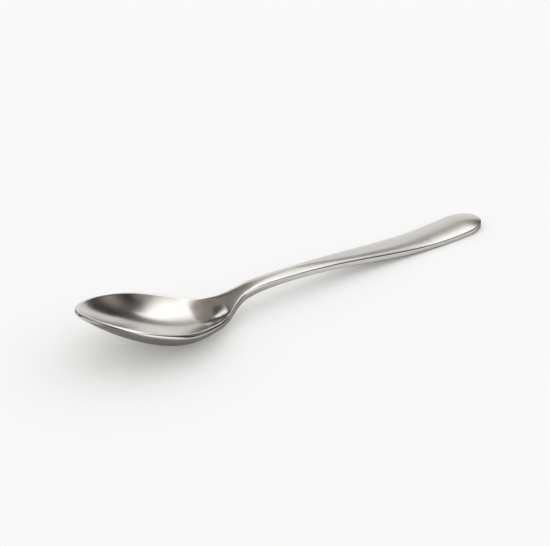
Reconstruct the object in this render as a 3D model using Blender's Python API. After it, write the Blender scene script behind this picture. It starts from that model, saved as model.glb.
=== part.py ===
"""Dinner spoon: a pressed bowl and a forged handle, butt welded across the neck.

The spoon lies as it does on a table, resting on the belly of its bowl and on its handle near the end.
X runs from the tip of the bowl to the end of the handle, Z is up, and the origin is on the table
under the middle of the length.
"""

import math

import bmesh
import bpy
import numpy as np

MM = 0.001

# Outline, seen from above
LENGTH = 195.4 * MM
BOWL_WIDTH = 42.6 * MM
TIP_TO_WIDEST = 32.15 * MM
TIP_TAPER = 0.24
NECK_WIDTH = 6.9 * MM
NECK_FROM_HEEL = 13.7 * MM
END_WIDTH = 16.0 * MM
END_ROUND = 11.4 * MM
END_FULLNESS = 2.1
HANDLE_FLARE = 1.27

# Stretches of the side view, from the tip of the bowl to the crest of the handle, and from its end
WIDEST_TO_BACK = 18.2 * MM
BACK_TO_HEEL = 10.0 * MM
HEEL_TO_RISE = 10.0 * MM
RISE_TO_CREST = 16.0 * MM
REST_FROM_END = 30.0 * MM

# Height of the upper edge over the table at those stations
TIP_HEIGHT = 23.7 * MM
WIDEST_HEIGHT = 12.67 * MM
BACK_HEIGHT = 7.85 * MM
HEEL_HEIGHT = 5.67 * MM
RISE_HEIGHT = 8.19 * MM
CREST_HEIGHT = 9.44 * MM
MIDDLE_HEIGHT = 6.4 * MM
END_HEIGHT = 2.9 * MM

# Height of the upright edge wall at those stations
TIP_WALL = 2.0 * MM
WIDEST_WALL = 2.0 * MM
BACK_WALL = 2.0 * MM
HEEL_WALL = 2.45 * MM
CREST_WALL = 2.25 * MM
REST_WALL = 2.15 * MM
END_WALL = 2.1 * MM

# Dish of the bowl: depth inside, sheet at the deepest place, and how full the dish is
BOWL_DEPTH = 8.18 * MM
FLOOR_SHEET = 1.3 * MM
DISH_FULLNESS = 3.0
DISH_SPREAD = 1.45
DISH_SKEW = 0.2
DISH_SKEW_REACH = 1.2
DISH_FADE_BEFORE_HEEL = 6.9 * MM
DISH_FADE_RUN = 14.5 * MM

# Crown along the top of the handle: its height over the edges, and how flat its top is
NECK_CROWN = 0.79 * MM
CREST_CROWN = 1.13 * MM
MIDDLE_CROWN = 1.09 * MM
REST_CROWN = 1.6 * MM
END_CROWN = 1.6 * MM
CROWN_BEFORE_HEEL = 1.6 * MM
CROWN_RUN_IN = 4.2 * MM
NECK_FULLNESS = 3.7
CREST_FULLNESS = 1.62
MIDDLE_FULLNESS = 3.25
REST_FULLNESS = 2.2

# Butt weld across the neck
WELD_FROM_NECK = 4.0 * MM
WELD_LENGTH = 1.2 * MM

# Flat land on top of the rim, and the round of its edge, which eases into the arris of the handle
RIM_LAND = 1.44 * MM
RIM_FADE_FROM = 39.35 * MM
RIM_FADE_RUN = 34.45 * MM
RIM_RADIUS = 1.3 * MM
ARRIS_RADIUS = 0.36 * MM
RIM_UNDER_ROUND = 0.5
ARRIS_UNDER_ROUND = 1.2
LAND_EASE = 0.02
MOST_LAND = 0.98
REST_LAND_DEPTH = 0.2 * MM

# Fineness of the mesh
STEPS_ACROSS_HALF = 14
STEPS_TIP = 14
STEPS_BOWL = 20
STEPS_NECK = 4
STEPS_HANDLE = 28
STEPS_END = 10
CAP_INSET = 0.05 * MM
SETTLE_ROUNDS = 6
SLOPE_STEP = 0.01 * MM

BACK_AT = TIP_TO_WIDEST + WIDEST_TO_BACK
HEEL_AT = BACK_AT + BACK_TO_HEEL
NECK_AT = HEEL_AT + NECK_FROM_HEEL
RISE_AT = HEEL_AT + HEEL_TO_RISE
CREST_AT = RISE_AT + RISE_TO_CREST
REST_AT = LENGTH - REST_FROM_END
MIDDLE_AT = (CREST_AT + REST_AT) / 2
ROUND_AT = LENGTH - END_ROUND
WELD_START = NECK_AT + WELD_FROM_NECK - WELD_LENGTH / 2
WELD_STOP = NECK_AT + WELD_FROM_NECK + WELD_LENGTH / 2

STEEL = (0.62, 0.61, 0.595, 1.0)
WELD_STEEL = (0.60, 0.595, 0.58, 1.0)


def smooth_step(t):
    """Ease from 0 to 1 as t runs from 0 to 1, and stay there beyond."""
    t = min(max(t, 0.0), 1.0)
    return t * t * (3 - 2 * t)


def natural_spline(places, values):
    """Return the smooth curve through the points, straight where it starts and ends."""
    x = np.array(places)
    y = np.array(values)
    gap = np.diff(x)
    slope = np.diff(y) / gap
    size = len(x)
    system = np.eye(size)
    right = np.zeros(size)
    for i in range(1, size - 1):
        system[i, i - 1] = gap[i - 1]
        system[i, i] = 2 * (gap[i - 1] + gap[i])
        system[i, i + 1] = gap[i]
        right[i] = 6 * (slope[i] - slope[i - 1])
    bend = np.linalg.solve(system, right)

    def curve(place):
        i = int(np.clip(np.searchsorted(x, place) - 1, 0, size - 2))
        before = place - x[i]
        after = x[i + 1] - place
        cubic = (bend[i] * after ** 3 + bend[i + 1] * before ** 3) / (6 * gap[i])
        start = (y[i] / gap[i] - bend[i] * gap[i] / 6) * after
        stop = (y[i + 1] / gap[i] - bend[i + 1] * gap[i] / 6) * before
        return float(cubic + start + stop)

    return curve


def half_width(place):
    """Half the width of the outline, at a distance from the tip of the bowl."""
    if place <= TIP_TO_WIDEST:
        t = 1 - place / TIP_TO_WIDEST
        return BOWL_WIDTH / 2 * math.sqrt(max(1 - t * t, 0.0)) * (1 - TIP_TAPER * t * t)
    if place <= NECK_AT:
        t = (place - TIP_TO_WIDEST) / (NECK_AT - TIP_TO_WIDEST)
        return NECK_WIDTH / 2 + (BOWL_WIDTH - NECK_WIDTH) / 2 * (1 - t * t) ** 2
    if place <= ROUND_AT:
        t = (place - NECK_AT) / (ROUND_AT - NECK_AT)
        return NECK_WIDTH / 2 + (END_WIDTH - NECK_WIDTH) / 2 * smooth_step(t ** HANDLE_FLARE)
    t = (place - ROUND_AT) / END_ROUND
    return END_WIDTH / 2 * math.sqrt(max(1 - t ** END_FULLNESS, 0.0))


def outline_slope(place):
    """How fast the half width grows along the length."""
    before = max(place - SLOPE_STEP, 0.0)
    after = min(place + SLOPE_STEP, LENGTH)
    return (half_width(after) - half_width(before)) / (after - before)


def lean(place):
    """How much longer the outline is than the spoon's own length, at a distance from the tip."""
    return math.hypot(1.0, outline_slope(place))


def toward_handle(place):
    """0 where the edge is the rim of the bowl and 1 where it is the arris of the handle."""
    return smooth_step((place - RIM_FADE_FROM) / RIM_FADE_RUN)


def land_share(place):
    """How much of the arch across is taken by the flat land of the rim."""
    land = RIM_LAND * (1 - toward_handle(place))
    width = max(half_width(place), SLOPE_STEP)
    return min(2 * lean(place) * land / width, MOST_LAND)


def inner_arch(arch, place):
    """The arch across that the dish follows: flat on the land, and a whole arch inside it."""
    land = land_share(place)
    past_land = (arch - land) / (1 - land)
    return min((past_land + math.hypot(past_land, LAND_EASE)) / 2, 1.0)


def dish_share(place):
    """How much of the bowl's dish is left at a distance from the tip."""
    inner = half_width(place) * math.sqrt(1 - land_share(place))
    widest = BOWL_WIDTH / 2 * math.sqrt(1 - 4 * RIM_LAND / BOWL_WIDTH)
    fade = smooth_step((place - HEEL_AT + DISH_FADE_BEFORE_HEEL) / DISH_FADE_RUN)
    return min(inner / widest, 1.0) ** DISH_SPREAD * (1 - fade)


def dish_depth(place):
    """Depth that a whole dish would have, more toward the handle than toward the tip."""
    along = min(max(place / TIP_TO_WIDEST - 1, -1.0), DISH_SKEW_REACH)
    return BOWL_DEPTH * (1 + DISH_SKEW * along)


def flat_left(arch, place):
    """What the dish leaves of the flat, at a height on its arch."""
    return max(1 - arch * dish_share(place), 0.0) ** (DISH_FULLNESS / 2)


def edge_drop(place, inset):
    """How far a rounded edge lies below the face it rounds, at a distance in from the outline."""
    radius = RIM_RADIUS + (ARRIS_RADIUS - RIM_RADIUS) * toward_handle(place)
    if inset >= radius:
        return 0.0
    return radius - math.sqrt(radius ** 2 - (radius - inset) ** 2)


def under_round(place):
    """How much of the upper edge's round the lower edge has."""
    return RIM_UNDER_ROUND + (ARRIS_UNDER_ROUND - RIM_UNDER_ROUND) * toward_handle(place)


class Profile:
    """Side view of the spoon: its upper edge, its edge wall and the surfaces between the edges."""

    places = (0.0, TIP_TO_WIDEST, BACK_AT, HEEL_AT, RISE_AT, CREST_AT, MIDDLE_AT, REST_AT, LENGTH)
    bowl_heights = (TIP_HEIGHT, WIDEST_HEIGHT, BACK_HEIGHT, HEEL_HEIGHT, RISE_HEIGHT, CREST_HEIGHT)
    handle_heights = (MIDDLE_HEIGHT, REST_WALL, END_HEIGHT)
    wall_places = (0.0, TIP_TO_WIDEST, BACK_AT, HEEL_AT, CREST_AT, REST_AT, LENGTH)
    walls = (TIP_WALL, WIDEST_WALL, BACK_WALL, HEEL_WALL, CREST_WALL, REST_WALL, END_WALL)
    crown_places = (NECK_AT, CREST_AT, MIDDLE_AT, REST_AT, ROUND_AT)
    crowns = (NECK_CROWN, CREST_CROWN, MIDDLE_CROWN, REST_CROWN, END_CROWN)
    fullness_places = (NECK_AT, CREST_AT, MIDDLE_AT, REST_AT)
    fullnesses = (NECK_FULLNESS, CREST_FULLNESS, MIDDLE_FULLNESS, REST_FULLNESS)

    def __init__(self, bowl_lift, handle_lift):
        heights = [height + bowl_lift for height in self.bowl_heights]
        heights += [height + handle_lift for height in self.handle_heights]
        self.edge = natural_spline(self.places, heights)
        self.wall = natural_spline(self.wall_places, self.walls)
        self.crown_along = natural_spline(self.crown_places, self.crowns)
        self.fullness_along = natural_spline(self.fullness_places, self.fullnesses)

    def crown(self, place, across):
        """Height of the handle's crown over its edges."""
        growth = smooth_step((place - HEEL_AT + CROWN_BEFORE_HEEL) / CROWN_RUN_IN)
        crown = self.crown_along(min(max(place, NECK_AT), ROUND_AT)) * growth
        if place > ROUND_AT:
            crown *= (2 * half_width(place) / END_WIDTH) ** 2
        fullness = self.fullness_along(min(max(place, NECK_AT), REST_AT))
        return crown * (1 - abs(across) ** fullness)

    def faces(self, place, across):
        """Heights of the upper and the lower face, before their edges are rounded."""
        arch = 1 - across * across
        edge = self.edge(place)
        depth = dish_depth(place)
        upper = edge - depth * (1 - flat_left(inner_arch(arch, place), place)) + self.crown(place, across)
        flat_under = flat_left(arch, place)
        sheet = FLOOR_SHEET + (self.wall(place) - FLOOR_SHEET) * flat_under
        lower = edge - depth * (1 - flat_under) - sheet
        return upper, lower

    def lowest(self, stations):
        """Lowest point of the underside along the middle of the given stations."""
        return min(self.faces(place, 0.0)[1] for place in stations)

    def ring(self, place):
        """Points of the cross section, over the upper face and back along the lower one."""
        width = half_width(place)
        upper_row = []
        lower_row = []
        for step in range(-STEPS_ACROSS_HALF, STEPS_ACROSS_HALF + 1):
            across = math.sin(math.pi / 2 * step / STEPS_ACROSS_HALF)
            drop = edge_drop(place, width * (1 - across * across) / (2 * lean(place)))
            upper, lower = self.faces(place, across)
            x = place - LENGTH / 2
            upper_row.append((x, width * across, upper - drop))
            lower_row.append((x, width * across, max(lower + under_round(place) * drop, 0.0)))
        return upper_row + lower_row[::-1]


def spread(start, stop, steps):
    """Evenly spaced stations, with both ends."""
    return [start + (stop - start) * step / steps for step in range(steps + 1)]


def tip_stations():
    """Stations from the tip to the widest place of the bowl, close together at the tip."""
    angles = spread(0.0, math.pi / 2, STEPS_TIP)
    return [max(TIP_TO_WIDEST * (1 - math.cos(angle)), CAP_INSET) for angle in angles]


def end_stations():
    """Stations round the end of the handle, close together at its end."""
    angles = spread(0.0, math.pi / 2, STEPS_END)
    return [min(ROUND_AT + END_ROUND * math.sin(angle), LENGTH - CAP_INSET) for angle in angles]


def bowl_stations():
    return tip_stations() + spread(TIP_TO_WIDEST, WELD_START, STEPS_BOWL)[1:]


def weld_stations():
    return spread(WELD_START, WELD_STOP, STEPS_NECK)


def handle_stations():
    return spread(WELD_STOP, ROUND_AT, STEPS_HANDLE) + end_stations()[1:]


def settled_profile():
    """Raise or lower the bowl and the handle until both press their rest lands into the table."""
    bowl_lift = 0.0
    handle_lift = 0.0
    for _ in range(SETTLE_ROUNDS):
        profile = Profile(bowl_lift, handle_lift)
        bowl_lift -= profile.lowest(bowl_stations()) + REST_LAND_DEPTH
        handle_lift -= profile.lowest(handle_stations()) + REST_LAND_DEPTH
    return Profile(bowl_lift, handle_lift)


def steel_material(name, color, roughness):
    material = bpy.data.materials.new(name)
    material.use_nodes = True
    shader = material.node_tree.nodes["Principled BSDF"]
    shader.inputs["Base Color"].default_value = color
    shader.inputs["Metallic"].default_value = 1.0
    shader.inputs["Roughness"].default_value = roughness
    return material


def loft(name, profile, stations, material, collection, parent):
    """Join the cross sections at the stations into one closed solid."""
    shape = bmesh.new()
    rings = [[shape.verts.new(point) for point in profile.ring(place)] for place in stations]
    count = len(rings[0])
    for ring, following in zip(rings, rings[1:]):
        for i in range(count):
            j = (i + 1) % count
            shape.faces.new((ring[i], ring[j], following[j], following[i]))
    shape.faces.new(rings[0])
    shape.faces.new(rings[-1])
    bmesh.ops.recalc_face_normals(shape, faces=shape.faces)
    mesh = bpy.data.meshes.new(name)
    shape.to_mesh(mesh)
    shape.free()
    mesh.shade_smooth()
    mesh.set_sharp_from_angle(angle=math.radians(40))
    mesh.materials.append(material)
    solid = bpy.data.objects.new(name, mesh)
    solid.parent = parent
    collection.objects.link(solid)


def main():
    for old in list(bpy.data.objects):
        bpy.data.objects.remove(old, do_unlink=True)
    collection = bpy.data.collections.new("dinner_spoon")
    bpy.context.scene.collection.children.link(collection)
    table_point = bpy.data.objects.new("spoon_on_table", None)
    collection.objects.link(table_point)
    profile = settled_profile()
    pieces = (
        ("bowl", bowl_stations(), steel_material("bowl_steel", STEEL, 0.2)),
        ("neck_weld", weld_stations(), steel_material("weld_steel", WELD_STEEL, 0.3)),
        ("handle", handle_stations(), steel_material("handle_steel", STEEL, 0.25)),
    )
    for name, stations, material in pieces:
        loft(name, profile, stations, material, collection, table_point)


main()
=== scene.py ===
"""Dinner spoon in satin steel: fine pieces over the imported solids, on a white studio floor.

Every piece is made from the same rules as the solids, with finer steps: the outline seen from above, the side
view of the upper edge, and the section across. Lengths are in metres and Z is up.
"""

import math

import bpy
import numpy as np
from bpy.props import FloatProperty, FloatVectorProperty, IntProperty, PointerProperty
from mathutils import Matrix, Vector


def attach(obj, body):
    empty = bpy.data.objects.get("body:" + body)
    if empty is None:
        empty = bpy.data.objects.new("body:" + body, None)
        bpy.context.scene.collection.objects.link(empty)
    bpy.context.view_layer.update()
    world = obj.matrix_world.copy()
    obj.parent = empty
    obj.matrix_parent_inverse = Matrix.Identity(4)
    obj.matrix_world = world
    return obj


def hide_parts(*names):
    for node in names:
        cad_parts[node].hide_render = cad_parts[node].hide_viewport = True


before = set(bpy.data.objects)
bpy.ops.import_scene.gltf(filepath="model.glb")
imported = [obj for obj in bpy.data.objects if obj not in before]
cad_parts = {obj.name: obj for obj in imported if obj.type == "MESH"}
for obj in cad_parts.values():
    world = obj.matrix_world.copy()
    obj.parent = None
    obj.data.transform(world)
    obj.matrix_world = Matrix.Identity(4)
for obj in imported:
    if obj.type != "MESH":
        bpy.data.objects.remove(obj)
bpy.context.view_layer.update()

bl_info = {
    "name": "Dinner Spoon",
    "version": (1, 0, 0),
    "blender": (4, 5, 0),
    "location": "View3D > Sidebar > Spoon",
    "description": "Dresses a packed dinner spoon in satin steel and sets a white studio floor under it",
    "category": "Add Mesh",
}

MM = 0.001
SETTLE_ROUNDS = 6
SLOPE_STEP = 0.01 * MM
WELD_DISTANCE = 0.0002 * MM
SHARP_ANGLE = math.radians(50)
MOST_LAND = 0.98
LAND_EASE = 0.02
RIM_UNDER_ROUND = 0.5
ARRIS_UNDER_ROUND = 1.2
DISH_SKEW_REACH = 1.2

# Brushed grain, in millimetres, and how its fine lines differ from its coarse ones
GRAIN_WIDTH = 0.35
GRAIN_LENGTH = 24.0
FINE_GRAIN_WIDTH = 0.5
FINE_GRAIN_LENGTH = 0.4
FINE_GRAIN_TURN = 0.03
FINE_GRAIN_SHARE = 0.35
GRAIN_RANGE = (0.25, 0.75)
BOWL_GRAIN = 0.001 * MM
HANDLE_GRAIN = 0.002 * MM

# Clouds left by polishing, in millimetres
CLOUD_SIZE = 9.0
CLOUD_STRETCH = 2.0
CLOUD_RANGE = (0.3, 0.7)

# Scratches of use, and the patches that hold them
SCRATCH_WIDTH = 0.12 * MM
SCRATCH_LENGTH = 9.0 * MM
SCRATCH_TURNS = (0.45, -0.7, 1.3)
SCRATCH_RANGE = (0.74, 0.82)
SCRATCH_PATCH_TURN = 0.2
SCRATCH_PATCH_RANGE = (0.45, 0.65)

# How far the outline's edge is worn smooth, in millimetres
EDGE_POLISH = 0.8

# How much each effect changes the tone, the roughness and the relief of the steel
GRAIN_TONE = 0.05
CLOUD_TONE = 0.04
LEAST_TONE = 0.955
GRAIN_ROUGHNESS = 0.16
CLOUD_ROUGHNESS = 0.24
LEAST_ROUGHNESS = 0.8
SCRATCH_ROUGHNESS = 0.02
EDGE_SMOOTHING = 0.35
SCRATCH_RELIEF = 0.4


def size(name, description, millimetres):
    """A length that a user may change, written in millimetres."""
    return FloatProperty(
        name=name, description=description, default=millimetres * MM, unit="LENGTH", precision=5)


def share(name, description, value):
    """A plain number that a user may change."""
    return FloatProperty(name=name, description=description, default=value, precision=3)


def color(name, description, value):
    """A linear colour that a user may change."""
    return FloatVectorProperty(
        name=name, description=description, default=value, subtype="COLOR", size=3, min=0.0, max=1.0)


def steps(name, description, value, least):
    """A number of steps that a user may change."""
    return IntProperty(name=name, description=description, default=value, min=least)


def angle(name, description, degrees):
    """An angle that a user may change, written in degrees."""
    return FloatProperty(name=name, description=description, default=math.radians(degrees), subtype="ANGLE")


class SpoonShape(bpy.types.PropertyGroup):
    """Outline, side view and section of the spoon."""

    length: size("Length", "Tip of the bowl to the end of the handle", 195.4)
    bowl_width: size("Bowl Width", "Bowl across its widest place", 42.6)
    tip_to_widest: size("Tip to Widest", "Tip of the bowl to its widest place", 32.15)
    tip_taper: share("Tip Taper", "How much the tip is drawn in from an ellipse", 0.24)
    neck_width: size("Neck Width", "Handle across its narrowest place", 6.9)
    neck_from_heel: size("Neck from Heel", "Heel of the bowl to the narrowest place", 13.7)
    end_width: size("End Width", "Handle across its end", 16.0)
    end_round: size("End Round", "Length of the round at the end of the handle", 11.4)
    end_fullness: share("End Fullness", "Exponent of the round at the end, 2 for an ellipse", 2.1)
    handle_flare: share("Handle Flare", "How late the handle widens, 1 for halfway", 1.27)

    widest_to_back: size("Widest to Back", "Widest place of the bowl to its back", 18.2)
    back_to_heel: size("Back to Heel", "Back of the bowl to its heel", 10.0)
    heel_to_rise: size("Heel to Rise", "Heel of the bowl to the rise of the neck", 10.0)
    rise_to_crest: size("Rise to Crest", "Rise of the neck to the crest of the handle", 16.0)
    rest_from_end: size("Rest from End", "Place where the handle rests, from its end", 30.0)

    tip_height: size("Tip Height", "Upper edge over the table at the tip", 23.7)
    widest_height: size("Widest Height", "Upper edge over the table at the widest place", 12.67)
    back_height: size("Back Height", "Upper edge over the table at the back of the bowl", 7.85)
    heel_height: size("Heel Height", "Upper edge over the table at the heel", 5.67)
    rise_height: size("Rise Height", "Upper edge over the table at the rise", 8.19)
    crest_height: size("Crest Height", "Upper edge over the table at the crest", 9.44)
    middle_height: size("Middle Height", "Upper edge over the table at the middle of the handle", 6.4)
    end_height: size("End Height", "Upper edge over the table at the end", 2.9)

    tip_wall: size("Tip Wall", "Height of the edge wall at the tip", 2.0)
    widest_wall: size("Widest Wall", "Height of the edge wall at the widest place", 2.0)
    back_wall: size("Back Wall", "Height of the edge wall at the back of the bowl", 2.0)
    heel_wall: size("Heel Wall", "Height of the edge wall at the heel", 2.45)
    crest_wall: size("Crest Wall", "Height of the edge wall at the crest", 2.25)
    rest_wall: size("Rest Wall", "Height of the edge wall where the handle rests", 2.15)
    end_wall: size("End Wall", "Height of the edge wall at the end", 2.1)

    bowl_depth: size("Bowl Depth", "Depth of the dish under its rim at the widest place", 8.18)
    floor_sheet: size("Floor Sheet", "Steel at the deepest place of the dish", 1.3)
    dish_fullness: share("Dish Fullness", "Exponent of the dish across, 2 for a parabola", 3.0)
    dish_spread: share("Dish Spread", "How fast the dish gets shallow where the bowl narrows", 1.45)
    dish_skew: share("Dish Skew", "How much deeper the dish runs toward the handle than toward the tip", 0.2)
    dish_fade_before_heel: size("Dish Fade before Heel", "Start of the dish's end, before the heel", 6.9)
    dish_fade_run: size("Dish Fade Run", "Run over which the dish ends", 14.5)

    neck_crown: size("Neck Crown", "Rise of the middle over the edges at the neck", 0.79)
    crest_crown: size("Crest Crown", "Rise of the middle over the edges at the crest", 1.13)
    middle_crown: size("Middle Crown", "Rise of the middle over the edges at the middle of the handle", 1.09)
    rest_crown: size("Rest Crown", "Rise of the middle over the edges where the handle rests", 1.6)
    end_crown: size("End Crown", "Rise of the middle over the edges where the end is rounded", 1.6)
    crown_before_heel: size("Crown before Heel", "Start of the crown, before the heel", 1.6)
    crown_run_in: size("Crown Run-in", "Run over which the crown rises", 4.2)
    neck_fullness: share("Neck Fullness", "Exponent of the crown across at the neck, 2 for a parabola", 3.7)
    crest_fullness: share("Crest Fullness", "Exponent of the crown across at the crest, 1 for a roof", 1.62)
    middle_fullness: share("Middle Fullness", "Exponent of the crown across at the handle's middle", 3.25)
    rest_fullness: share("Rest Fullness", "Exponent of the crown across where the handle rests", 2.2)

    weld_from_neck: size("Weld from Neck", "Narrowest place to the middle of the weld", 4.0)
    weld_length: size("Weld Length", "Weld along the handle", 1.2)

    rim_land: size("Rim Land", "Flat land on top of the rim, from the outline to the dish", 1.44)
    rim_fade_from: size("Rim Fade From", "Where the rim starts to change into the handle's arris", 39.35)
    rim_fade_run: size("Rim Fade Run", "Run over which the rim changes into the arris of the handle", 34.45)
    rim_radius: size("Rim Radius", "Round of the rim of the bowl", 1.3)
    arris_radius: size("Arris Radius", "Round of the edges of the handle", 0.36)
    rest_land_depth: size("Rest Land Depth", "Depth of the flats that touch the table", 0.2)

    steps_across: steps("Steps Across", "Steps across half a face", 48, 8)
    steps_tip: steps("Steps Tip", "Steps from the tip to the widest place", 90, 8)
    steps_bowl: steps("Steps Bowl", "Steps from the widest place to the weld", 110, 8)
    steps_weld: steps("Steps Weld", "Steps along the weld", 8, 2)
    steps_handle: steps("Steps Handle", "Steps from the weld to the round", 170, 8)
    steps_end: steps("Steps End", "Steps round the end", 60, 8)


class SteelFinish(bpy.types.PropertyGroup):
    """Colour and polish of the steel."""

    steel_color: color("Steel", "Colour of the polished steel", (0.575, 0.56, 0.54))
    weld_color: color("Weld", "Colour of the ground weld", (0.57, 0.55, 0.52))
    bowl_roughness: share("Bowl Roughness", "Polish of the bowl", 0.2)
    weld_roughness: share("Weld Roughness", "Polish of the ground weld", 0.24)
    handle_roughness: share("Handle Roughness", "Polish of the handle", 0.24)
    grain_width: size("Grain Width", "Width of one line of the brushed grain", GRAIN_WIDTH)
    grain_length: size("Grain Length", "Length of one line of the brushed grain", GRAIN_LENGTH)
    cloud_size: size("Cloud Size", "Size of the soft patches left by polishing", CLOUD_SIZE)
    edge_polish: size("Edge Polish", "How far in from the outline the edges are worn smooth", EDGE_POLISH)


class StudioStage(bpy.types.PropertyGroup):
    """Floor, mirrored room, softboxes and camera."""

    floor_color: color("Floor", "Colour of the floor and of what is behind it", (0.94, 0.94, 0.938))
    room_color: color("Room", "Colour of the dark room round the stage", (0.028, 0.024, 0.022))
    ceiling_color: color("Ceiling", "Colour of the lit ceiling over the stage", (0.30, 0.272, 0.247))
    halo_color: color("Halo", "Colour of the ceiling beside the softbox", (0.32, 0.30, 0.285))
    haze_color: color("Haze", "Colour of the wall over the backdrop", (0.62, 0.59, 0.56))
    door_color: color("Door", "Colour of the pale patch on the right of the room", (0.41, 0.36, 0.33))
    softbox_glow: share("Softbox Glow", "Strength of the overhead softbox", 2.15)
    daylight: share("Daylight", "Strength of the even light on the floor", 1.075)
    camera_azimuth: angle("Camera Azimuth", "Turn of the camera round the spoon", -38.944)
    camera_elevation: angle("Camera Elevation", "Height of the camera over the floor", 27.53)
    camera_distance: size("Camera Distance", "Camera to the point it looks at", 797.1)
    camera_lens: share("Camera Lens", "Focal length in millimetres on a 36 mm sensor", 133.47)


class SpoonSettings(bpy.types.PropertyGroup):
    """All the values of the spoon and its stage."""

    shape: PointerProperty(type=SpoonShape)
    finish: PointerProperty(type=SteelFinish)
    stage: PointerProperty(type=StudioStage)


def smooth_step(t):
    """Ease from 0 to 1 as t runs from 0 to 1, and stay there beyond."""
    t = np.clip(t, 0.0, 1.0)
    return t * t * (3 - 2 * t)


def natural_spline(places, values):
    """Return the smooth curve through the points, straight where it starts and ends."""
    x = np.array(places)
    y = np.array(values)
    gap = np.diff(x)
    slope = np.diff(y) / gap
    count = len(x)
    system = np.eye(count)
    right = np.zeros(count)
    for i in range(1, count - 1):
        system[i, i - 1] = gap[i - 1]
        system[i, i] = 2 * (gap[i - 1] + gap[i])
        system[i, i + 1] = gap[i]
        right[i] = 6 * (slope[i] - slope[i - 1])
    bend = np.linalg.solve(system, right)

    def curve(place):
        i = np.clip(np.searchsorted(x, place) - 1, 0, count - 2)
        before = place - x[i]
        after = x[i + 1] - place
        cubic = (bend[i] * after ** 3 + bend[i + 1] * before ** 3) / (6 * gap[i])
        start = (y[i] / gap[i] - bend[i] * gap[i] / 6) * after
        stop = (y[i + 1] / gap[i] - bend[i + 1] * gap[i] / 6) * before
        return cubic + start + stop

    return curve


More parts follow.
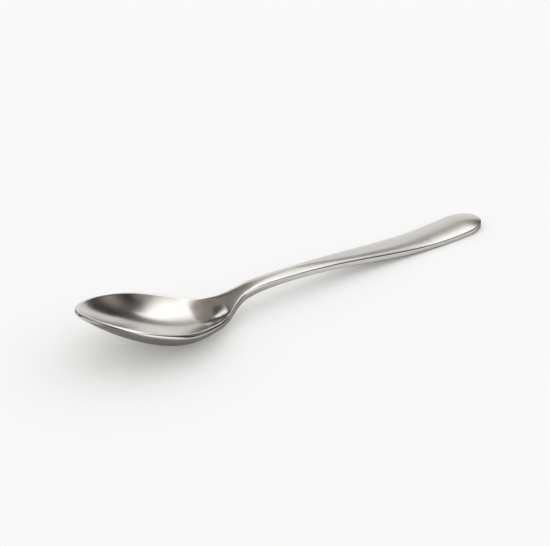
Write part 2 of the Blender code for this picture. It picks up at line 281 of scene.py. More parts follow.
class SpoonRule:
    """The outline and the side view of the spoon, at distances from the tip of its bowl."""

    def __init__(self, shape):
        self.shape = shape
        self.back_at = shape.tip_to_widest + shape.widest_to_back
        self.heel_at = self.back_at + shape.back_to_heel
        self.neck_at = self.heel_at + shape.neck_from_heel
        self.rise_at = self.heel_at + shape.heel_to_rise
        self.crest_at = self.rise_at + shape.rise_to_crest
        self.rest_at = shape.length - shape.rest_from_end
        self.middle_at = (self.crest_at + self.rest_at) / 2
        self.round_at = shape.length - shape.end_round
        self.weld_start = self.neck_at + shape.weld_from_neck - shape.weld_length / 2
        self.weld_stop = self.weld_start + shape.weld_length
        self.settle()

    def settle(self):
        """Raise or lower the bowl and the handle until both press their rest lands into the table."""
        bowl_lift = 0.0
        handle_lift = 0.0
        for _ in range(SETTLE_ROUNDS):
            self.set_side_view(bowl_lift, handle_lift)
            bowl_lift -= self.lowest(self.bowl_places()) + self.shape.rest_land_depth
            handle_lift -= self.lowest(self.handle_places()) + self.shape.rest_land_depth
        self.set_side_view(bowl_lift, handle_lift)

    def set_side_view(self, bowl_lift, handle_lift):
        """Draw the upper edge and the edge wall as smooth curves through their stations."""
        s = self.shape
        bowl = (s.tip_height, s.widest_height, s.back_height, s.heel_height, s.rise_height, s.crest_height)
        handle = (s.middle_height, s.rest_wall, s.end_height)
        heights = [height + bowl_lift for height in bowl] + [height + handle_lift for height in handle]
        bowl_stations = (0.0, s.tip_to_widest, self.back_at, self.heel_at)
        stations = (*bowl_stations, self.rise_at, self.crest_at, self.middle_at, self.rest_at, s.length)
        self.edge = natural_spline(stations, heights)
        walls = (s.tip_wall, s.widest_wall, s.back_wall, s.heel_wall, s.crest_wall, s.rest_wall, s.end_wall)
        self.wall = natural_spline((*bowl_stations, self.crest_at, self.rest_at, s.length), walls)

    def lowest(self, places):
        """Lowest point of the underside along the middle."""
        flat_left = (1 - self.dish(places)) ** (self.shape.dish_fullness / 2)
        sheet = self.shape.floor_sheet + (self.wall(places) - self.shape.floor_sheet) * flat_left
        return float(np.min(self.edge(places) - self.depth(places) * (1 - flat_left) - sheet))

    def half_width(self, place):
        """Half the width of the outline."""
        s = self.shape
        t = 1 - np.clip(place / s.tip_to_widest, 0, 1)
        tip = s.bowl_width / 2 * np.sqrt(1 - t * t) * (1 - s.tip_taper * t * t)
        t = np.clip((place - s.tip_to_widest) / (self.neck_at - s.tip_to_widest), 0, 1)
        back = s.neck_width / 2 + (s.bowl_width - s.neck_width) / 2 * (1 - t * t) ** 2
        t = np.clip((place - self.neck_at) / (self.round_at - self.neck_at), 0, 1)
        handle = s.neck_width / 2 + (s.end_width - s.neck_width) / 2 * smooth_step(t ** s.handle_flare)
        t = np.clip((place - self.round_at) / s.end_round, 0, 1)
        end = s.end_width / 2 * np.sqrt(1 - t ** s.end_fullness)
        stretches = [place <= s.tip_to_widest, place <= self.neck_at, place <= self.round_at]
        return np.select(stretches, [tip, back, handle], end)

    def lean(self, place):
        """How much longer the outline is than the spoon's own length, at each place."""
        before = np.maximum(place - SLOPE_STEP, 0.0)
        after = np.minimum(place + SLOPE_STEP, self.shape.length)
        return np.hypot(1.0, (self.half_width(after) - self.half_width(before)) / (after - before))

    def toward_handle(self, place):
        """0 where the edge is the rim of the bowl and 1 where it is the arris of the handle."""
        return smooth_step((place - self.shape.rim_fade_from) / self.shape.rim_fade_run)

    def land_share(self, place):
        """How much of the arch across is taken by the flat land of the rim."""
        land = self.shape.rim_land * (1 - self.toward_handle(place))
        width = np.maximum(self.half_width(place), SLOPE_STEP)
        return np.minimum(2 * self.lean(place) * land / width, MOST_LAND)

    def dish(self, place):
        """How much of the bowl's dish is left."""
        s = self.shape
        inner = self.half_width(place) * np.sqrt(1 - self.land_share(place))
        widest = s.bowl_width / 2 * math.sqrt(1 - 4 * s.rim_land / s.bowl_width)
        fade = smooth_step((place - self.heel_at + s.dish_fade_before_heel) / s.dish_fade_run)
        return np.minimum(inner / widest, 1.0) ** s.dish_spread * (1 - fade)

    def depth(self, place):
        """Depth that a whole dish would have, more toward the handle than toward the tip."""
        s = self.shape
        along = np.clip((place - s.tip_to_widest) / s.tip_to_widest, -1.0, DISH_SKEW_REACH)
        return s.bowl_depth * (1 + s.dish_skew * along)

    def crown(self, place):
        """Height of the handle's crown over its edges."""
        s = self.shape
        stations = (self.neck_at, self.crest_at, self.middle_at, self.rest_at, self.round_at)
        heights = (s.neck_crown, s.crest_crown, s.middle_crown, s.rest_crown, s.end_crown)
        along = natural_spline(stations, heights)(np.clip(place, self.neck_at, self.round_at))
        growth = smooth_step((place - self.heel_at + s.crown_before_heel) / s.crown_run_in)
        at_end = np.where(place > self.round_at, (2 * self.half_width(place) / s.end_width) ** 2, 1.0)
        return along * growth * at_end

    def crown_fullness(self, place):
        """Exponent of the crown across: the higher, the flatter its top and the rounder its shoulders."""
        s = self.shape
        stations = (self.neck_at, self.crest_at, self.middle_at, self.rest_at)
        exponents = (s.neck_fullness, s.crest_fullness, s.middle_fullness, s.rest_fullness)
        curve = natural_spline(stations, exponents)
        return curve(np.clip(place, self.neck_at, self.rest_at))

    def rim(self, place):
        """Radius of the rounded edge."""
        s = self.shape
        return s.rim_radius + (s.arris_radius - s.rim_radius) * self.toward_handle(place)

    def under_round(self, place):
        """How much of the upper edge's round the lower edge has."""
        return RIM_UNDER_ROUND + (ARRIS_UNDER_ROUND - RIM_UNDER_ROUND) * self.toward_handle(place)

    def bowl_places(self):
        s = self.shape
        angles = np.linspace(0.0, math.pi / 2, s.steps_tip + 1)
        tip = s.tip_to_widest * (1 - np.cos(angles))
        return np.concatenate((tip, np.linspace(s.tip_to_widest, self.weld_start, s.steps_bowl + 1)[1:]))

    def weld_places(self):
        return np.linspace(self.weld_start, self.weld_stop, self.shape.steps_weld + 1)

    def handle_places(self):
        s = self.shape
        angles = np.linspace(0.0, math.pi / 2, s.steps_end + 1)
        end = self.round_at + s.end_round * np.sin(angles)
        return np.concatenate((np.linspace(self.weld_stop, self.round_at, s.steps_handle + 1), end[1:]))

    def spine(self, places):
        """Everything the section needs to know at each place, with a shut section at both ends."""
        closed = np.concatenate((places[:1], places, places[-1:]))
        shut = np.zeros(len(closed))
        shut[[0, -1]] = 1.0
        return {
            "place": closed,
            "half_width": self.half_width(closed),
            "lean": self.lean(closed),
            "edge": self.edge(closed),
            "wall": self.wall(closed),
            "land": self.land_share(closed),
            "dish": self.dish(closed),
            "depth": self.depth(closed),
            "crown": self.crown(closed),
            "crown_fullness": self.crown_fullness(closed),
            "rim": self.rim(closed),
            "under_round": self.under_round(closed),
            "shut": shut,
        }


class NodeBench:
    """Adds nodes to a tree and wires them, so that a rule reads one step a line."""

    def __init__(self, tree):
        self.tree = tree

    def feed(self, socket, value):
        if isinstance(value, bpy.types.NodeSocket):
            self.tree.links.new(value, socket)
        else:
            socket.default_value = value

    def add(self, kind, inputs=None, **settings):
        node = self.tree.nodes.new(kind)
        for name, value in settings.items():
            setattr(node, name, value)
        for name, value in (inputs or {}).items():
            self.feed(node.inputs[name], value)
        return node

    def math(self, operation, *values):
        node = self.tree.nodes.new("ShaderNodeMath")
        node.operation = operation
        for socket, value in zip(node.inputs, values):
            self.feed(socket, value)
        return node.outputs[0]

    def vector(self, operation, inputs):
        node = self.add("ShaderNodeVectorMath", inputs, operation=operation)
        return node.outputs["Value" if operation in ("LENGTH", "DOT_PRODUCT") else "Vector"]

    def group(self, tree, inputs):
        """Add a node group, feed it and return its outputs."""
        node = self.tree.nodes.new("ShaderNodeGroup")
        node.node_tree = tree
        for name, value in inputs.items():
            self.feed(node.inputs[name], value)
        return node.outputs

    def ease(self, value, start, stop, low=0.0, high=1.0):
        """A smooth ramp from low to high as the value runs from start to stop."""
        node = self.add("ShaderNodeMapRange", interpolation_type="SMOOTHSTEP")
        names = ("Value", "From Min", "From Max", "To Min", "To Max")
        for name, given in zip(names, (value, start, stop, low, high)):
            self.feed(node.inputs[name], given)
        return node.outputs["Result"]


def cleared_bench(holder):
    """Empty the nodes of a material or a world, and return the bench they are built on."""
    holder.use_nodes = True
    holder.node_tree.nodes.clear()
    return NodeBench(holder.node_tree)


SECTION_INPUTS = (
    ("Stations", "NodeSocketInt", 2),
    ("Steps Across", "NodeSocketInt", 8),
    ("Middle", "NodeSocketFloat", 0.0),
    ("Floor Sheet", "NodeSocketFloat", 0.0),
    ("Dish Fullness", "NodeSocketFloat", 2.0),
)


def section_tree():
    """Geometry nodes that loft the section of the spoon along a spine of stations."""
    tree = bpy.data.node_groups.get("spoon_section")
    if tree:
        return tree
    tree = bpy.data.node_groups.new("spoon_section", "GeometryNodeTree")
    tree.interface.new_socket("Spine", in_out="INPUT", socket_type="NodeSocketGeometry")
    for name, kind, value in SECTION_INPUTS:
        tree.interface.new_socket(name, in_out="INPUT", socket_type=kind).default_value = value
    tree.interface.new_socket("Steel", in_out="INPUT", socket_type="NodeSocketMaterial")
    tree.interface.new_socket("Piece", in_out="OUTPUT", socket_type="NodeSocketGeometry")
    bench = NodeBench(tree)
    given = bench.add("NodeGroupInput").outputs

    # A grid with one row of points for each station, and one more column than the ring, to close it
    face_points = bench.math("ADD", bench.math("MULTIPLY", given["Steps Across"], 2), 1)
    ring_points = bench.math("MULTIPLY", face_points, 2)
    columns = bench.math("ADD", ring_points, 1)
    grid = bench.add("GeometryNodeMeshGrid", {"Vertices X": given["Stations"], "Vertices Y": columns})
    index = bench.add("GeometryNodeInputIndex").outputs["Index"]
    row = bench.math("FLOOR", bench.math("DIVIDE", bench.math("ADD", index, 0.5), columns))
    column = bench.math("SUBTRACT", index, bench.math("MULTIPLY", row, columns))
    on_ring = bench.math("FLOORED_MODULO", bench.math("ADD", column, 0.5), ring_points)
    under = bench.math("GREATER_THAN", on_ring, face_points)
    step = bench.math("SUBTRACT", bench.math("FLOOR", on_ring), bench.math("MULTIPLY", under, face_points))
    turn = bench.math("ADD", under, bench.math("DIVIDE", step, bench.math("SUBTRACT", face_points, 1)))
    across = bench.math("MULTIPLY", bench.math("COSINE", bench.math("MULTIPLY", turn, math.pi)), -1)

    def at_station(name):
        value = bench.add("GeometryNodeInputNamedAttribute", {"Name": name}, data_type="FLOAT")
        sample = bench.add("GeometryNodeSampleIndex", {"Geometry": given["Spine"]}, data_type="FLOAT")
        sample.domain = "POINT"
        bench.feed(sample.inputs["Value"], value.outputs["Attribute"])
        bench.feed(sample.inputs["Index"], row)
        return sample.outputs["Value"]

    # The section: a dish inside a flat land, fading into a crown, with a sheet under it and rounded edges
    half_width = at_station("half_width")
    edge = at_station("edge")
    depth = at_station("depth")
    dish = at_station("dish")
    rim = at_station("rim")
    half_fullness = bench.math("DIVIDE", given["Dish Fullness"], 2)

    def flat_left(arch_share):
        """What a dish leaves of the flat, at a share of its arch."""
        left = bench.math("SUBTRACT", 1, bench.math("MULTIPLY", arch_share, dish))
        return bench.math("POWER", bench.math("MAXIMUM", left, 0), half_fullness)

    def dished(left):
        return bench.math("SUBTRACT", edge, bench.math("MULTIPLY", depth, bench.math("SUBTRACT", 1, left)))

    arch = bench.math("SUBTRACT", 1, bench.math("MULTIPLY", across, across))
    land = at_station("land")
    past_land = bench.math("DIVIDE", bench.math("SUBTRACT", arch, land), bench.math("SUBTRACT", 1, land))
    squared = bench.math("MULTIPLY", past_land, past_land)
    eased = bench.math("SQRT", bench.math("ADD", squared, LAND_EASE ** 2))
    inner_arch = bench.math("MINIMUM", bench.math("MULTIPLY", bench.math("ADD", past_land, eased), 0.5), 1)
    wide_inset = bench.math("MULTIPLY", half_width, arch)
    inset = bench.math("DIVIDE", wide_inset, bench.math("MULTIPLY", at_station("lean"), 2))
    reach = bench.math("MAXIMUM", bench.math("SUBTRACT", rim, inset), 0)
    rise = bench.math("SUBTRACT", bench.math("MULTIPLY", rim, rim), bench.math("MULTIPLY", reach, reach))
    drop = bench.math("SUBTRACT", rim, bench.math("SQRT", bench.math("MAXIMUM", rise, 0)))
    shoulder = bench.math("POWER", bench.math("ABSOLUTE", across), at_station("crown_fullness"))
    rounded = bench.math("MULTIPLY", at_station("crown"), bench.math("SUBTRACT", 1, shoulder))
    crowned = bench.math("ADD", dished(flat_left(inner_arch)), rounded)
    upper = bench.math("SUBTRACT", crowned, drop)
    flat_under = flat_left(arch)
    thick_edge = bench.math("SUBTRACT", at_station("wall"), given["Floor Sheet"])
    sheet = bench.math("ADD", given["Floor Sheet"], bench.math("MULTIPLY", thick_edge, flat_under))
    under_face = bench.math("SUBTRACT", dished(flat_under), sheet)
    under_drop = bench.math("MULTIPLY", drop, at_station("under_round"))
    lower = bench.math("MAXIMUM", bench.math("ADD", under_face, under_drop), 0)
    thickness = bench.math("SUBTRACT", lower, upper)
    open_face = bench.math("MULTIPLY", thickness, under)
    shut_face = bench.math("MULTIPLY", thickness, 0.5)
    shut = at_station("shut")
    opened = bench.math("MULTIPLY", open_face, bench.math("SUBTRACT", 1, shut))
    height = bench.math("ADD", upper, bench.math("ADD", opened, bench.math("MULTIPLY", shut_face, shut)))

    point = bench.add("ShaderNodeCombineXYZ")
    bench.feed(point.inputs["X"], bench.math("SUBTRACT", at_station("place"), given["Middle"]))
    bench.feed(point.inputs["Y"], bench.math("MULTIPLY", half_width, across))
    bench.feed(point.inputs["Z"], height)
    marked = bench.add("GeometryNodeStoreNamedAttribute", {"Geometry": grid.outputs["Mesh"], "Name": "inset"})
    marked.data_type = "FLOAT"
    bench.feed(marked.inputs["Value"], inset)
    placed = bench.add("GeometryNodeSetPosition", {"Geometry": marked.outputs["Geometry"]})
    bench.feed(placed.inputs["Position"], point.outputs["Vector"])
    joined = bench.add("GeometryNodeMergeByDistance", {"Geometry": placed.outputs["Geometry"]})
    bench.feed(joined.inputs["Distance"], WELD_DISTANCE)
    real = bench.add("GeometryNodeRealizeInstances", {"Geometry": joined.outputs["Geometry"]})
    steel = bench.add("GeometryNodeSetMaterial", {"Geometry": real.outputs["Geometry"]})
    bench.feed(steel.inputs["Material"], given["Steel"])
    bench.add("NodeGroupOutput", {"Piece": steel.outputs["Geometry"]})
    return tree


def lofted_piece(name, rule, places, material):
    """Loft the section through the places into one closed piece, and return its object."""
    shape = rule.shape
    spine = rule.spine(places)
    mesh = bpy.data.meshes.new(name + "_spine")
    mesh.from_pydata([(place, 0.0, 0.0) for place in spine["place"]], [], [])
    for label, values in spine.items():
        mesh.attributes.new(label, "FLOAT", "POINT").data.foreach_set("value", values.astype(np.float32))
    piece = bpy.data.objects.new(name, mesh)
    bpy.context.scene.collection.objects.link(piece)
    loft = piece.modifiers.new("Section", "NODES")
    loft.node_group = section_tree()
    values = {
        "Stations": len(spine["place"]),
        "Steps Across": shape.steps_across,
        "Middle": shape.length / 2,
        "Floor Sheet": shape.floor_sheet,
        "Dish Fullness": shape.dish_fullness,
        "Steel": material,
    }
    for item in loft.node_group.interface.items_tree:
        if item.in_out == "INPUT" and item.name in values:
            loft[item.identifier] = values[item.name]
    depsgraph = bpy.context.evaluated_depsgraph_get()
    lofted = bpy.data.meshes.new_from_object(piece.evaluated_get(depsgraph))
    piece.modifiers.clear()
    piece.data = lofted
    bpy.data.meshes.remove(mesh)
    lofted.name = name
    if not lofted.polygons:
        raise RuntimeError(f"the section of {name} came out empty")
    lofted.shade_smooth()
    lofted.set_sharp_from_angle(angle=SHARP_ANGLE)
    return piece


def new_effect(name, inputs, outputs):
    """Start a shader node group, and return the bench it is built on and what it is given."""
    tree = bpy.data.node_groups.new(name, "ShaderNodeTree")
    for label, value in inputs.items():
        tree.interface.new_socket(label, in_out="INPUT", socket_type="NodeSocketFloat").default_value = value
    for label in outputs:
        tree.interface.new_socket(label, in_out="OUTPUT", socket_type="NodeSocketFloat")
    bench = NodeBench(tree)
    return bench, bench.add("NodeGroupInput").outputs


def stretched_noise(bench, along, across, turn=0.0, detail=2.0, roughness=0.5):
    """Noise drawn out along the spoon, or along a direction turned off it."""
    place = bench.add("ShaderNodeTexCoord").outputs["Object"]
    turned = bench.add("ShaderNodeVectorRotate", {"Vector": place, "Angle": turn}, rotation_type="Z_AXIS")
    scale = bench.add("ShaderNodeCombineXYZ")
    for axis, length in zip("XYZ", (along, across, across)):
        bench.feed(scale.inputs[axis], bench.math("DIVIDE", 1.0, length))
    drawn = bench.vector("MULTIPLY", {0: turned.outputs["Vector"], 1: scale.outputs["Vector"]})
    kind = {"Scale": 1.0, "Detail": detail, "Roughness": roughness}
    return bench.add("ShaderNodeTexNoise", {"Vector": drawn, **kind}).outputs["Fac"]


def brushed_grain():
    """Fine lines left along the spoon by brushing, from 0 to 1."""
    name = "brushed_grain"
    if name in bpy.data.node_groups:
        return bpy.data.node_groups[name]
    bench, given = new_effect(name, {"Width": GRAIN_WIDTH * MM, "Length": GRAIN_LENGTH * MM}, ("Grain",))
    coarse = stretched_noise(bench, given["Length"], given["Width"], detail=3.0, roughness=0.6)
    length = bench.math("MULTIPLY", given["Length"], FINE_GRAIN_LENGTH)
    width = bench.math("MULTIPLY", given["Width"], FINE_GRAIN_WIDTH)
    fine = stretched_noise(bench, length, width, turn=FINE_GRAIN_TURN, detail=1.0)
    coarse_part = bench.math("MULTIPLY", coarse, 1.0 - FINE_GRAIN_SHARE)
    both = bench.math("ADD", coarse_part, bench.math("MULTIPLY", fine, FINE_GRAIN_SHARE))
    bench.add("NodeGroupOutput", {"Grain": bench.ease(both, *GRAIN_RANGE)})
    return bench.tree


def polish_clouds():
    """Soft patches where the steel was polished a little more or less, from 0 to 1."""
    name = "polish_clouds"
    if name in bpy.data.node_groups:
        return bpy.data.node_groups[name]
    bench, given = new_effect(name, {"Size": CLOUD_SIZE * MM}, ("Clouds",))
    length = bench.math("MULTIPLY", given["Size"], CLOUD_STRETCH)
    clouds = stretched_noise(bench, length, given["Size"], detail=3.0)
    bench.add("NodeGroupOutput", {"Clouds": bench.ease(clouds, *CLOUD_RANGE)})
    return bench.tree


def hairline_scratches():
    """A few thin scratches of use, crossing the grain at low angles, 1 in a scratch."""
    name = "hairline_scratches"
    if name in bpy.data.node_groups:
        return bpy.data.node_groups[name]
    bench, given = new_effect(name, {"Width": SCRATCH_WIDTH, "Length": SCRATCH_LENGTH}, ("Scratch",))
    found = 0.0
    for turn in SCRATCH_TURNS:
        lines = stretched_noise(bench, given["Length"], given["Width"], turn=turn, detail=0.0)
        found = bench.math("MAXIMUM", found, bench.ease(lines, *SCRATCH_RANGE))
    length = given["Length"]
    patches = stretched_noise(bench, length, length, turn=SCRATCH_PATCH_TURN, detail=1.0)
    scratch = bench.math("MULTIPLY", found, bench.ease(patches, *SCRATCH_PATCH_RANGE))
    bench.add("NodeGroupOutput", {"Scratch": scratch})
    return bench.tree


def worn_edges():
    """How much an edge is worn smooth by handling: 1 on the outline, 0 further in."""
    name = "worn_edges"
    if name in bpy.data.node_groups:
        return bpy.data.node_groups[name]
    bench, given = new_effect(name, {"Reach": EDGE_POLISH * MM}, ("Wear",))
    inset = bench.add("ShaderNodeAttribute", attribute_name="inset").outputs["Fac"]
    bench.add("NodeGroupOutput", {"Wear": bench.ease(inset, 0.0, given["Reach"], 1.0, 0.0)})
    return bench.tree


def steel_material(name, finish, base, roughness, grain_depth):
    """Satin steel: brushed along its length, clouded by polishing, scratched and smooth on its edges."""
    material = bpy.data.materials.new(name)
    material.use_nodes = True
    bench = NodeBench(material.node_tree)
    shader = material.node_tree.nodes["Principled BSDF"]
    shader.inputs["Metallic"].default_value = 1.0
    lines = {"Width": finish.grain_width, "Length": finish.grain_length}
    grain = bench.group(brushed_grain(), lines)["Grain"]
    clouds = bench.group(polish_clouds(), {"Size": finish.cloud_size})["Clouds"]
    scratch = bench.group(hairline_scratches(), {})["Scratch"]
    wear = bench.group(worn_edges(), {"Reach": finish.edge_polish})["Wear"]

    def uneven(of_grain, of_clouds):
        from_grain = bench.math("MULTIPLY", grain, of_grain)
        return bench.math("ADD", from_grain, bench.math("MULTIPLY", clouds, of_clouds))

    shade = bench.math("ADD", uneven(GRAIN_TONE, CLOUD_TONE), LEAST_TONE)
    bench.feed(shader.inputs["Base Color"], bench.vector("SCALE", {0: base, "Scale": shade}))

    satin = bench.math("ADD", uneven(GRAIN_ROUGHNESS, CLOUD_ROUGHNESS), LEAST_ROUGHNESS)
    satin = bench.math("MULTIPLY", satin, roughness)
    scratched = bench.math("ADD", satin, bench.math("MULTIPLY", scratch, SCRATCH_ROUGHNESS))
    smooth_edge = bench.math("SUBTRACT", 1.0, bench.math("MULTIPLY", wear, EDGE_SMOOTHING))
    bench.feed(shader.inputs["Roughness"], bench.math("MULTIPLY", scratched, smooth_edge))

    cut = bench.math("SUBTRACT", grain, bench.math("MULTIPLY", scratch, SCRATCH_RELIEF))
    relief = bench.math("MULTIPLY", cut, bench.math("SUBTRACT", 1.0, wear))
    bump = bench.add("ShaderNodeBump", {"Height": relief, "Distance": grain_depth, "Strength": 1.0})
    bench.feed(shader.inputs["Normal"], bump.outputs["Normal"])
    return material


def settings(context):
    return context.scene.dinner_spoon


class SPOON_OT_bowl(bpy.types.Operator):
    """Press the bowl, with its rim and its end of the neck"""

    bl_idname = "spoon.bowl"
    bl_label = "Bowl"

    def execute(self, context):
        given = settings(context)
        rule = SpoonRule(given.shape)
        finish = given.finish
        roughness = finish.bowl_roughness
        steel = steel_material("satin_bowl_steel", finish, finish.steel_color, roughness, BOWL_GRAIN)
        piece = lofted_piece("spoon_bowl", rule, rule.bowl_places(), steel)
        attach(piece, "root")
        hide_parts("bowl")
        return {"FINISHED"}


class SPOON_OT_neck_weld(bpy.types.Operator):
    """Grind the butt weld across the neck flush"""

    bl_idname = "spoon.neck_weld"
    bl_label = "Neck Weld"

    def execute(self, context):
        given = settings(context)
        rule = SpoonRule(given.shape)
        finish = given.finish
        roughness = finish.weld_roughness
        steel = steel_material("ground_weld_steel", finish, finish.weld_color, roughness, HANDLE_GRAIN)
        piece = lofted_piece("spoon_neck_weld", rule, rule.weld_places(), steel)
        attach(piece, "root")
        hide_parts("neck_weld")
        return {"FINISHED"}


class SPOON_OT_handle(bpy.types.Operator):
    """Forge the arched handle, crowned on top and rounded at its end"""

    bl_idname = "spoon.handle"
    bl_label = "Handle"

    def execute(self, context):
        given = settings(context)
        rule = SpoonRule(given.shape)
        finish = given.finish
        roughness = finish.handle_roughness
        steel = steel_material("satin_handle_steel", finish, finish.steel_color, roughness, HANDLE_GRAIN)
        piece = lofted_piece("spoon_handle", rule, rule.handle_places(), steel)
        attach(piece, "root")
        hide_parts("handle")
        return {"FINISHED"}


# The floor, how much of it glows, and the shades on it that only the steel mirrors
FLOOR_SIDE = 16.0
FLOOR_GAP = 0.05 * MM
FLOOR_GLOW = 0.1
BOWL_SHADE = 0.6
HANDLE_SHADE = 0.65
BOWL_SHADE_PLACE = Vector((-70.0, -12.0, 0.0)) * MM
BOWL_SHADE_SIZE = Vector((72.0, 37.0, 100.0)) * MM
TIP_SHADE = 0.85
TIP_SHADE_PLACE = Vector((-128.0, -45.0, 0.0)) * MM
TIP_SHADE_SIZE = Vector((36.0, 48.0, 100.0)) * MM
OVAL_EDGE = (0.55, 1.25)
HANDLE_SHADE_EDGE = (6.5 * MM, 10.5 * MM)
NECK_SHADE_EDGE = (-30 * MM, -15 * MM)
FAR_GLOW = (0.25, 0.7)

# The camera, and how finely a card is divided
AIM = Vector((4.4, 16.263, 0.173)) * MM
SENSOR_WIDTH = 36.0
CLIP_START = 0.01
CARD_STEPS = 40

# What the steel mirrors of the room, in degrees: a patch is its turn, rise and spread
CEILING_RISE = (35, 47)
BEAM_PATCH = (84.0, 43.0, 12.0)
HALO_PATCH = (36.5, 78.8, 11.3)
HALO_RISE = (50, 64)
HAZE_PATCH = (9.0, 39.0, 9.0)
DOOR_PATCH = (60.0, 18.0, 9.5)


def camera_axes(stage):
    """Directions to the right of the view and away from the camera, level with the floor."""
    turn = stage.camera_azimuth
    right = Vector((math.cos(turn), math.sin(turn), 0.0))
    away = Vector((-math.sin(turn), math.cos(turn), 0.0))
    return right, away


def heading(stage, turn, rise):
    """Direction at a turn to the right of the view and a rise over the floor, both in degrees."""
    right, away = camera_axes(stage)
    turn = math.radians(turn)
    rise = math.radians(rise)
    level = away * math.cos(turn) + right * math.sin(turn)
    return level * math.cos(rise) + Vector((0, 0, math.sin(rise)))


def add_camera(stage):
    camera = bpy.data.objects.new("camera", bpy.data.cameras.new("camera"))
    bpy.context.scene.collection.objects.link(camera)
    camera.data.lens = stage.camera_lens
    camera.data.sensor_width = SENSOR_WIDTH
    back = heading(stage, 180.0, math.degrees(stage.camera_elevation))
    camera.location = AIM + back * stage.camera_distance
    camera.rotation_euler = (-back).to_track_quat("-Z", "Y").to_euler()
    camera.data.clip_start = CLIP_START
    bpy.context.scene.camera = camera


def mirrored_first(bench, path):
    """What the steel mirrors to the camera, and not the light that the steel throws on the floor."""
    before_any_floor = bench.math("LESS_THAN", path["Diffuse Depth"], 0.5)
    return bench.math("MULTIPLY", path["Is Glossy Ray"], before_any_floor)


def floor_material(stage):
    """White floor that keeps its shadow: a little of what the camera sees glows, and all of it far away.

    The steel mirrors a deeper shade under the spoon and before its tip than the camera sees there.
    """
    material = bpy.data.materials.new("white_floor")
    bench = cleared_bench(material)
    path = bench.add("ShaderNodeLightPath").outputs
    place = bench.add("ShaderNodeNewGeometry").outputs["Position"]

    def oval(middle, half_size, strength):
        """A soft oval shade on the floor."""
        off = bench.vector("SUBTRACT", {0: place, 1: middle})
        reach = bench.vector("LENGTH", {0: bench.vector("DIVIDE", {0: off, 1: half_size})})
        return bench.ease(reach, *OVAL_EDGE, strength, 0.0)

    under_bowl = oval(BOWL_SHADE_PLACE, BOWL_SHADE_SIZE, BOWL_SHADE)
    before_tip = oval(TIP_SHADE_PLACE, TIP_SHADE_SIZE, TIP_SHADE)
    spot = bench.add("ShaderNodeSeparateXYZ", {"Vector": place}).outputs
    off_middle = bench.math("ABSOLUTE", spot["Y"])
    under_handle = bench.ease(off_middle, *HANDLE_SHADE_EDGE, HANDLE_SHADE, 0.0)
    behind_neck = bench.ease(spot["X"], *NECK_SHADE_EDGE)
    under = bench.math("MAXIMUM", under_bowl, bench.math("MULTIPLY", under_handle, behind_neck))
    under = bench.math("MAXIMUM", under, before_tip)
    kept = bench.math("SUBTRACT", 1.0, bench.math("MULTIPLY", under, mirrored_first(bench, path)))
    tone = bench.vector("SCALE", {0: stage.floor_color, "Scale": kept})
    matte = bench.add("ShaderNodeBsdfDiffuse", {"Color": tone}).outputs["BSDF"]
    white = {"Color": (*stage.floor_color, 1.0), "Strength": 1.0}
    glow = bench.add("ShaderNodeEmission", white).outputs["Emission"]
    distance = bench.vector("LENGTH", {0: place})
    near = bench.math("MULTIPLY", path["Is Camera Ray"], FLOOR_GLOW)
    seen = bench.math("MAXIMUM", path["Is Camera Ray"], path["Is Glossy Ray"])
    far = bench.math("MULTIPLY", seen, bench.ease(distance, *FAR_GLOW))
    mixed = bench.add("ShaderNodeMixShader", {"Fac": bench.math("MAXIMUM", near, far), 1: matte, 2: glow})
    bench.add("ShaderNodeOutputMaterial", {"Surface": mixed.outputs["Shader"]})
    return material


def add_floor(stage):
    bpy.ops.mesh.primitive_plane_add(size=FLOOR_SIDE, location=(0, 0, -FLOOR_GAP))
    floor = bpy.context.object
    floor.name = "floor"
    floor.data.materials.append(floor_material(stage))


def card_material(name, glow):
    """A card's light, which fades to clear toward the card's soft sides."""
    material = bpy.data.materials.new(name)
    bench = cleared_bench(material)
    white = {"Color": (1.0, 1.0, 1.0, 1.0), "Strength": glow}
    light = bench.add("ShaderNodeEmission", white).outputs["Emission"]
    clear = bench.add("ShaderNodeBsdfTransparent").outputs["BSDF"]
    fade = bench.add("ShaderNodeAttribute", attribute_name="fade").outputs["Fac"]
    mixed = bench.add("ShaderNodeMixShader", {"Fac": fade, 1: clear, 2: light})
    bench.add("ShaderNodeOutputMaterial", {"Surface": mixed.outputs["Shader"]})
    return material


def soft_side(t, first, last):
    """1 over most of a run from 0 to 1, fading out over its first and last shares."""
    rise = smooth_step(t / first) if first else 1.0
    fall = smooth_step((1.0 - t) / last) if last else 1.0
    return float(rise * fall)


def add_card(name, point_at, glow, soft_along, soft_across):
    """A glowing card that only the steel mirrors."""
    count = CARD_STEPS + 1
    points = []
    fade = []
    for row in range(count):
        for column in range(count):
            along = row / CARD_STEPS
            across = column / CARD_STEPS
            points.append(point_at(along, across))
            fade.append(soft_side(along, *soft_along) * soft_side(across, *soft_across))
    corners = [row * count + column for row in range(CARD_STEPS) for column in range(CARD_STEPS)]
    faces = [(at, at + 1, at + count + 1, at + count) for at in corners]
    mesh = bpy.data.meshes.new(name)
    mesh.from_pydata(points, [], faces)
    mesh.attributes.new("fade", "FLOAT", "POINT").data.foreach_set("value", fade)
    mesh.materials.append(card_material(name, glow))
    card = bpy.data.objects.new(name, mesh)
    bpy.context.scene.collection.objects.link(card)
    card.visible_camera = False
    card.visible_diffuse = False
    card.visible_shadow = False


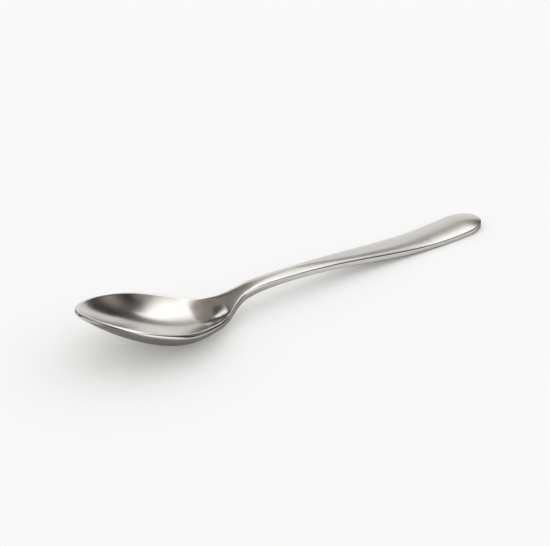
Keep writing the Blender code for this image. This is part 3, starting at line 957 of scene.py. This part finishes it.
def add_wall_card(name, stage, radius, turns, feet, tops, glow, soft_along=(0, 0), soft_across=(0, 0)):
    """An upright curved card round the stage, between two turns, with its foot's and top's rise at each."""
    def point_at(along, across):
        turn = turns[0] + (turns[1] - turns[0]) * along
        foot = feet[0] + (feet[1] - feet[0]) * along
        top = tops[0] + (tops[1] - tops[0]) * along
        rise = math.radians(foot + (top - foot) * across)
        return heading(stage, turn, 0.0) * radius + Vector((0, 0, radius * math.tan(rise)))

    add_card(name, point_at, glow, soft_along, soft_across)


def add_overhead_card(name, stage, height, depths, sides, cut, glow, soft_along, soft_across):
    """A level card over the stage, between two depths away from the camera and two places to its right.

    Its left side is cut off slantwise, from a depth on, by a share of the way back toward the camera.
    """
    right, away = camera_axes(stage)
    cut_from, slant = cut

    def point_at(along, across):
        depth = depths[0] + (depths[1] - depths[0]) * along
        left = min(sides[0] + slant * max(cut_from - depth, 0.0), sides[1])
        side = left + (sides[1] - left) * across
        return away * depth + right * side + Vector((0, 0, height))

    add_card(name, point_at, glow, soft_along, soft_across)


def set_world(stage):
    """Even daylight on the floor; the steel mirrors a dark room, a lit ceiling, a beam and pale patches."""
    world = bpy.data.worlds.new("room")
    bpy.context.scene.world = world
    bench = cleared_bench(world)
    direction = bench.add("ShaderNodeTexCoord").outputs["Generated"]
    height = bench.add("ShaderNodeSeparateXYZ", {"Vector": direction}).outputs["Z"]

    def patch(turn, rise, spread):
        """A soft round patch of light in a direction."""
        toward = heading(stage, turn, rise)
        dot = bench.vector("DOT_PRODUCT", {0: direction, 1: toward})
        off = bench.math("DIVIDE", bench.math("ARCCOSINE", dot), math.radians(spread))
        return bench.math("EXPONENT", bench.math("MULTIPLY", bench.math("MULTIPLY", off, off), -0.5))

    def above(start, stop):
        """Nothing under one rise over the floor, all over another."""
        return bench.ease(height, math.sin(math.radians(start)), math.sin(math.radians(stop)))

    def tinted(shade, strength):
        return bench.vector("SCALE", {0: shade, "Scale": strength})

    past_beam = bench.math("SUBTRACT", 1.0, patch(*BEAM_PATCH))
    ceiling = tinted(stage.ceiling_color, bench.math("MULTIPLY", past_beam, above(*CEILING_RISE)))
    halo = tinted(stage.halo_color, bench.math("MULTIPLY", patch(*HALO_PATCH), above(*HALO_RISE)))
    haze = tinted(stage.haze_color, patch(*HAZE_PATCH))
    door = tinted(stage.door_color, patch(*DOOR_PATCH))
    room = stage.room_color
    for light in (ceiling, halo, haze, door):
        room = bench.vector("ADD", {0: room, 1: light})
    path = bench.add("ShaderNodeLightPath").outputs
    dim = bench.add("ShaderNodeBackground", {"Color": room, "Strength": 1.0}).outputs["Background"]
    lit = bench.math("SUBTRACT", 1.0, path["Is Camera Ray"])
    strength = bench.math("ADD", path["Is Camera Ray"], bench.math("MULTIPLY", lit, stage.daylight))
    daylight = {"Color": (*stage.floor_color, 1.0), "Strength": strength}
    white = bench.add("ShaderNodeBackground", daylight).outputs["Background"]
    mixed = bench.add("ShaderNodeMixShader", {"Fac": mirrored_first(bench, path), 1: white, 2: dim})
    bench.add("ShaderNodeOutputWorld", {"Surface": mixed.outputs["Shader"]})


def add_cards(stage):
    """The backdrops and softboxes that the steel mirrors, in metres and in degrees off the view."""
    add_wall_card("backdrop", stage, radius=4.0, turns=(-29, 8), feet=(0, 0), tops=(31.4, 31.4),
                  glow=1.0, soft_along=(0.15, 0))
    add_wall_card("backdrop_wing", stage, radius=4.0, turns=(8, 25), feet=(0, 0), tops=(31.4, 19),
                  glow=1.0, soft_across=(0, 0.15))
    add_wall_card("rear_softbox", stage, radius=3.0, turns=(100, 160), feet=(0, 0), tops=(42, 42),
                  glow=1.6, soft_along=(0.1, 0.15), soft_across=(0, 0.2))
    add_wall_card("left_backdrop", stage, radius=4.0, turns=(-172, -98), feet=(0, 0), tops=(48, 48),
                  glow=0.8, soft_along=(0.12, 0.12), soft_across=(0, 0.3))
    add_wall_card("left_softbox", stage, radius=3.0, turns=(-64, -41), feet=(20, 22), tops=(27, 43),
                  glow=1.9, soft_along=(0.15, 0.12), soft_across=(0.1, 0.3))
    add_wall_card("side_softbox", stage, radius=2.0, turns=(29, 52), feet=(39.5, 39.5), tops=(48, 48),
                  glow=1.6, soft_along=(0.3, 0.25), soft_across=(0.3, 0.2))
    add_overhead_card("overhead_softbox", stage, height=2.4, depths=(-3.8, 2.78), sides=(0.0, 1.84),
                      cut=(0.2, 0.4), glow=stage.softbox_glow,
                      soft_along=(0.2, 0.19), soft_across=(0.58, 0.3))


class SPOON_OT_stage(bpy.types.Operator):
    """Set the white floor, the soft lights and the camera"""

    bl_idname = "spoon.stage"
    bl_label = "Stage"

    def execute(self, context):
        stage = settings(context).stage
        add_camera(stage)
        add_floor(stage)
        set_world(stage)
        add_cards(stage)
        context.scene.view_settings.view_transform = "Standard"
        return {"FINISHED"}


class VIEW3D_PT_dinner_spoon(bpy.types.Panel):
    """Lists the pieces of the spoon and the values they are made from"""

    bl_label = "Dinner Spoon"
    bl_space_type = "VIEW_3D"
    bl_region_type = "UI"
    bl_category = "Spoon"

    def draw(self, context):
        for operator in OPERATORS:
            self.layout.operator(operator.bl_idname)
        given = settings(context)
        for group in (given.shape, given.finish, given.stage):
            box = self.layout.box()
            for name in group.__annotations__:
                box.prop(group, name)


OPERATORS = (SPOON_OT_bowl, SPOON_OT_neck_weld, SPOON_OT_handle, SPOON_OT_stage)
CLASSES = (SpoonShape, SteelFinish, StudioStage, SpoonSettings, *OPERATORS, VIEW3D_PT_dinner_spoon)


def register():
    for each in CLASSES:
        bpy.utils.register_class(each)
    bpy.types.Scene.dinner_spoon = PointerProperty(type=SpoonSettings)


def unregister():
    del bpy.types.Scene.dinner_spoon
    for each in reversed(CLASSES):
        bpy.utils.unregister_class(each)


def main():
    register()
    bpy.ops.spoon.bowl()
    bpy.ops.spoon.neck_weld()
    bpy.ops.spoon.handle()
    bpy.ops.spoon.stage()


if __name__ == "__main__":
    main()
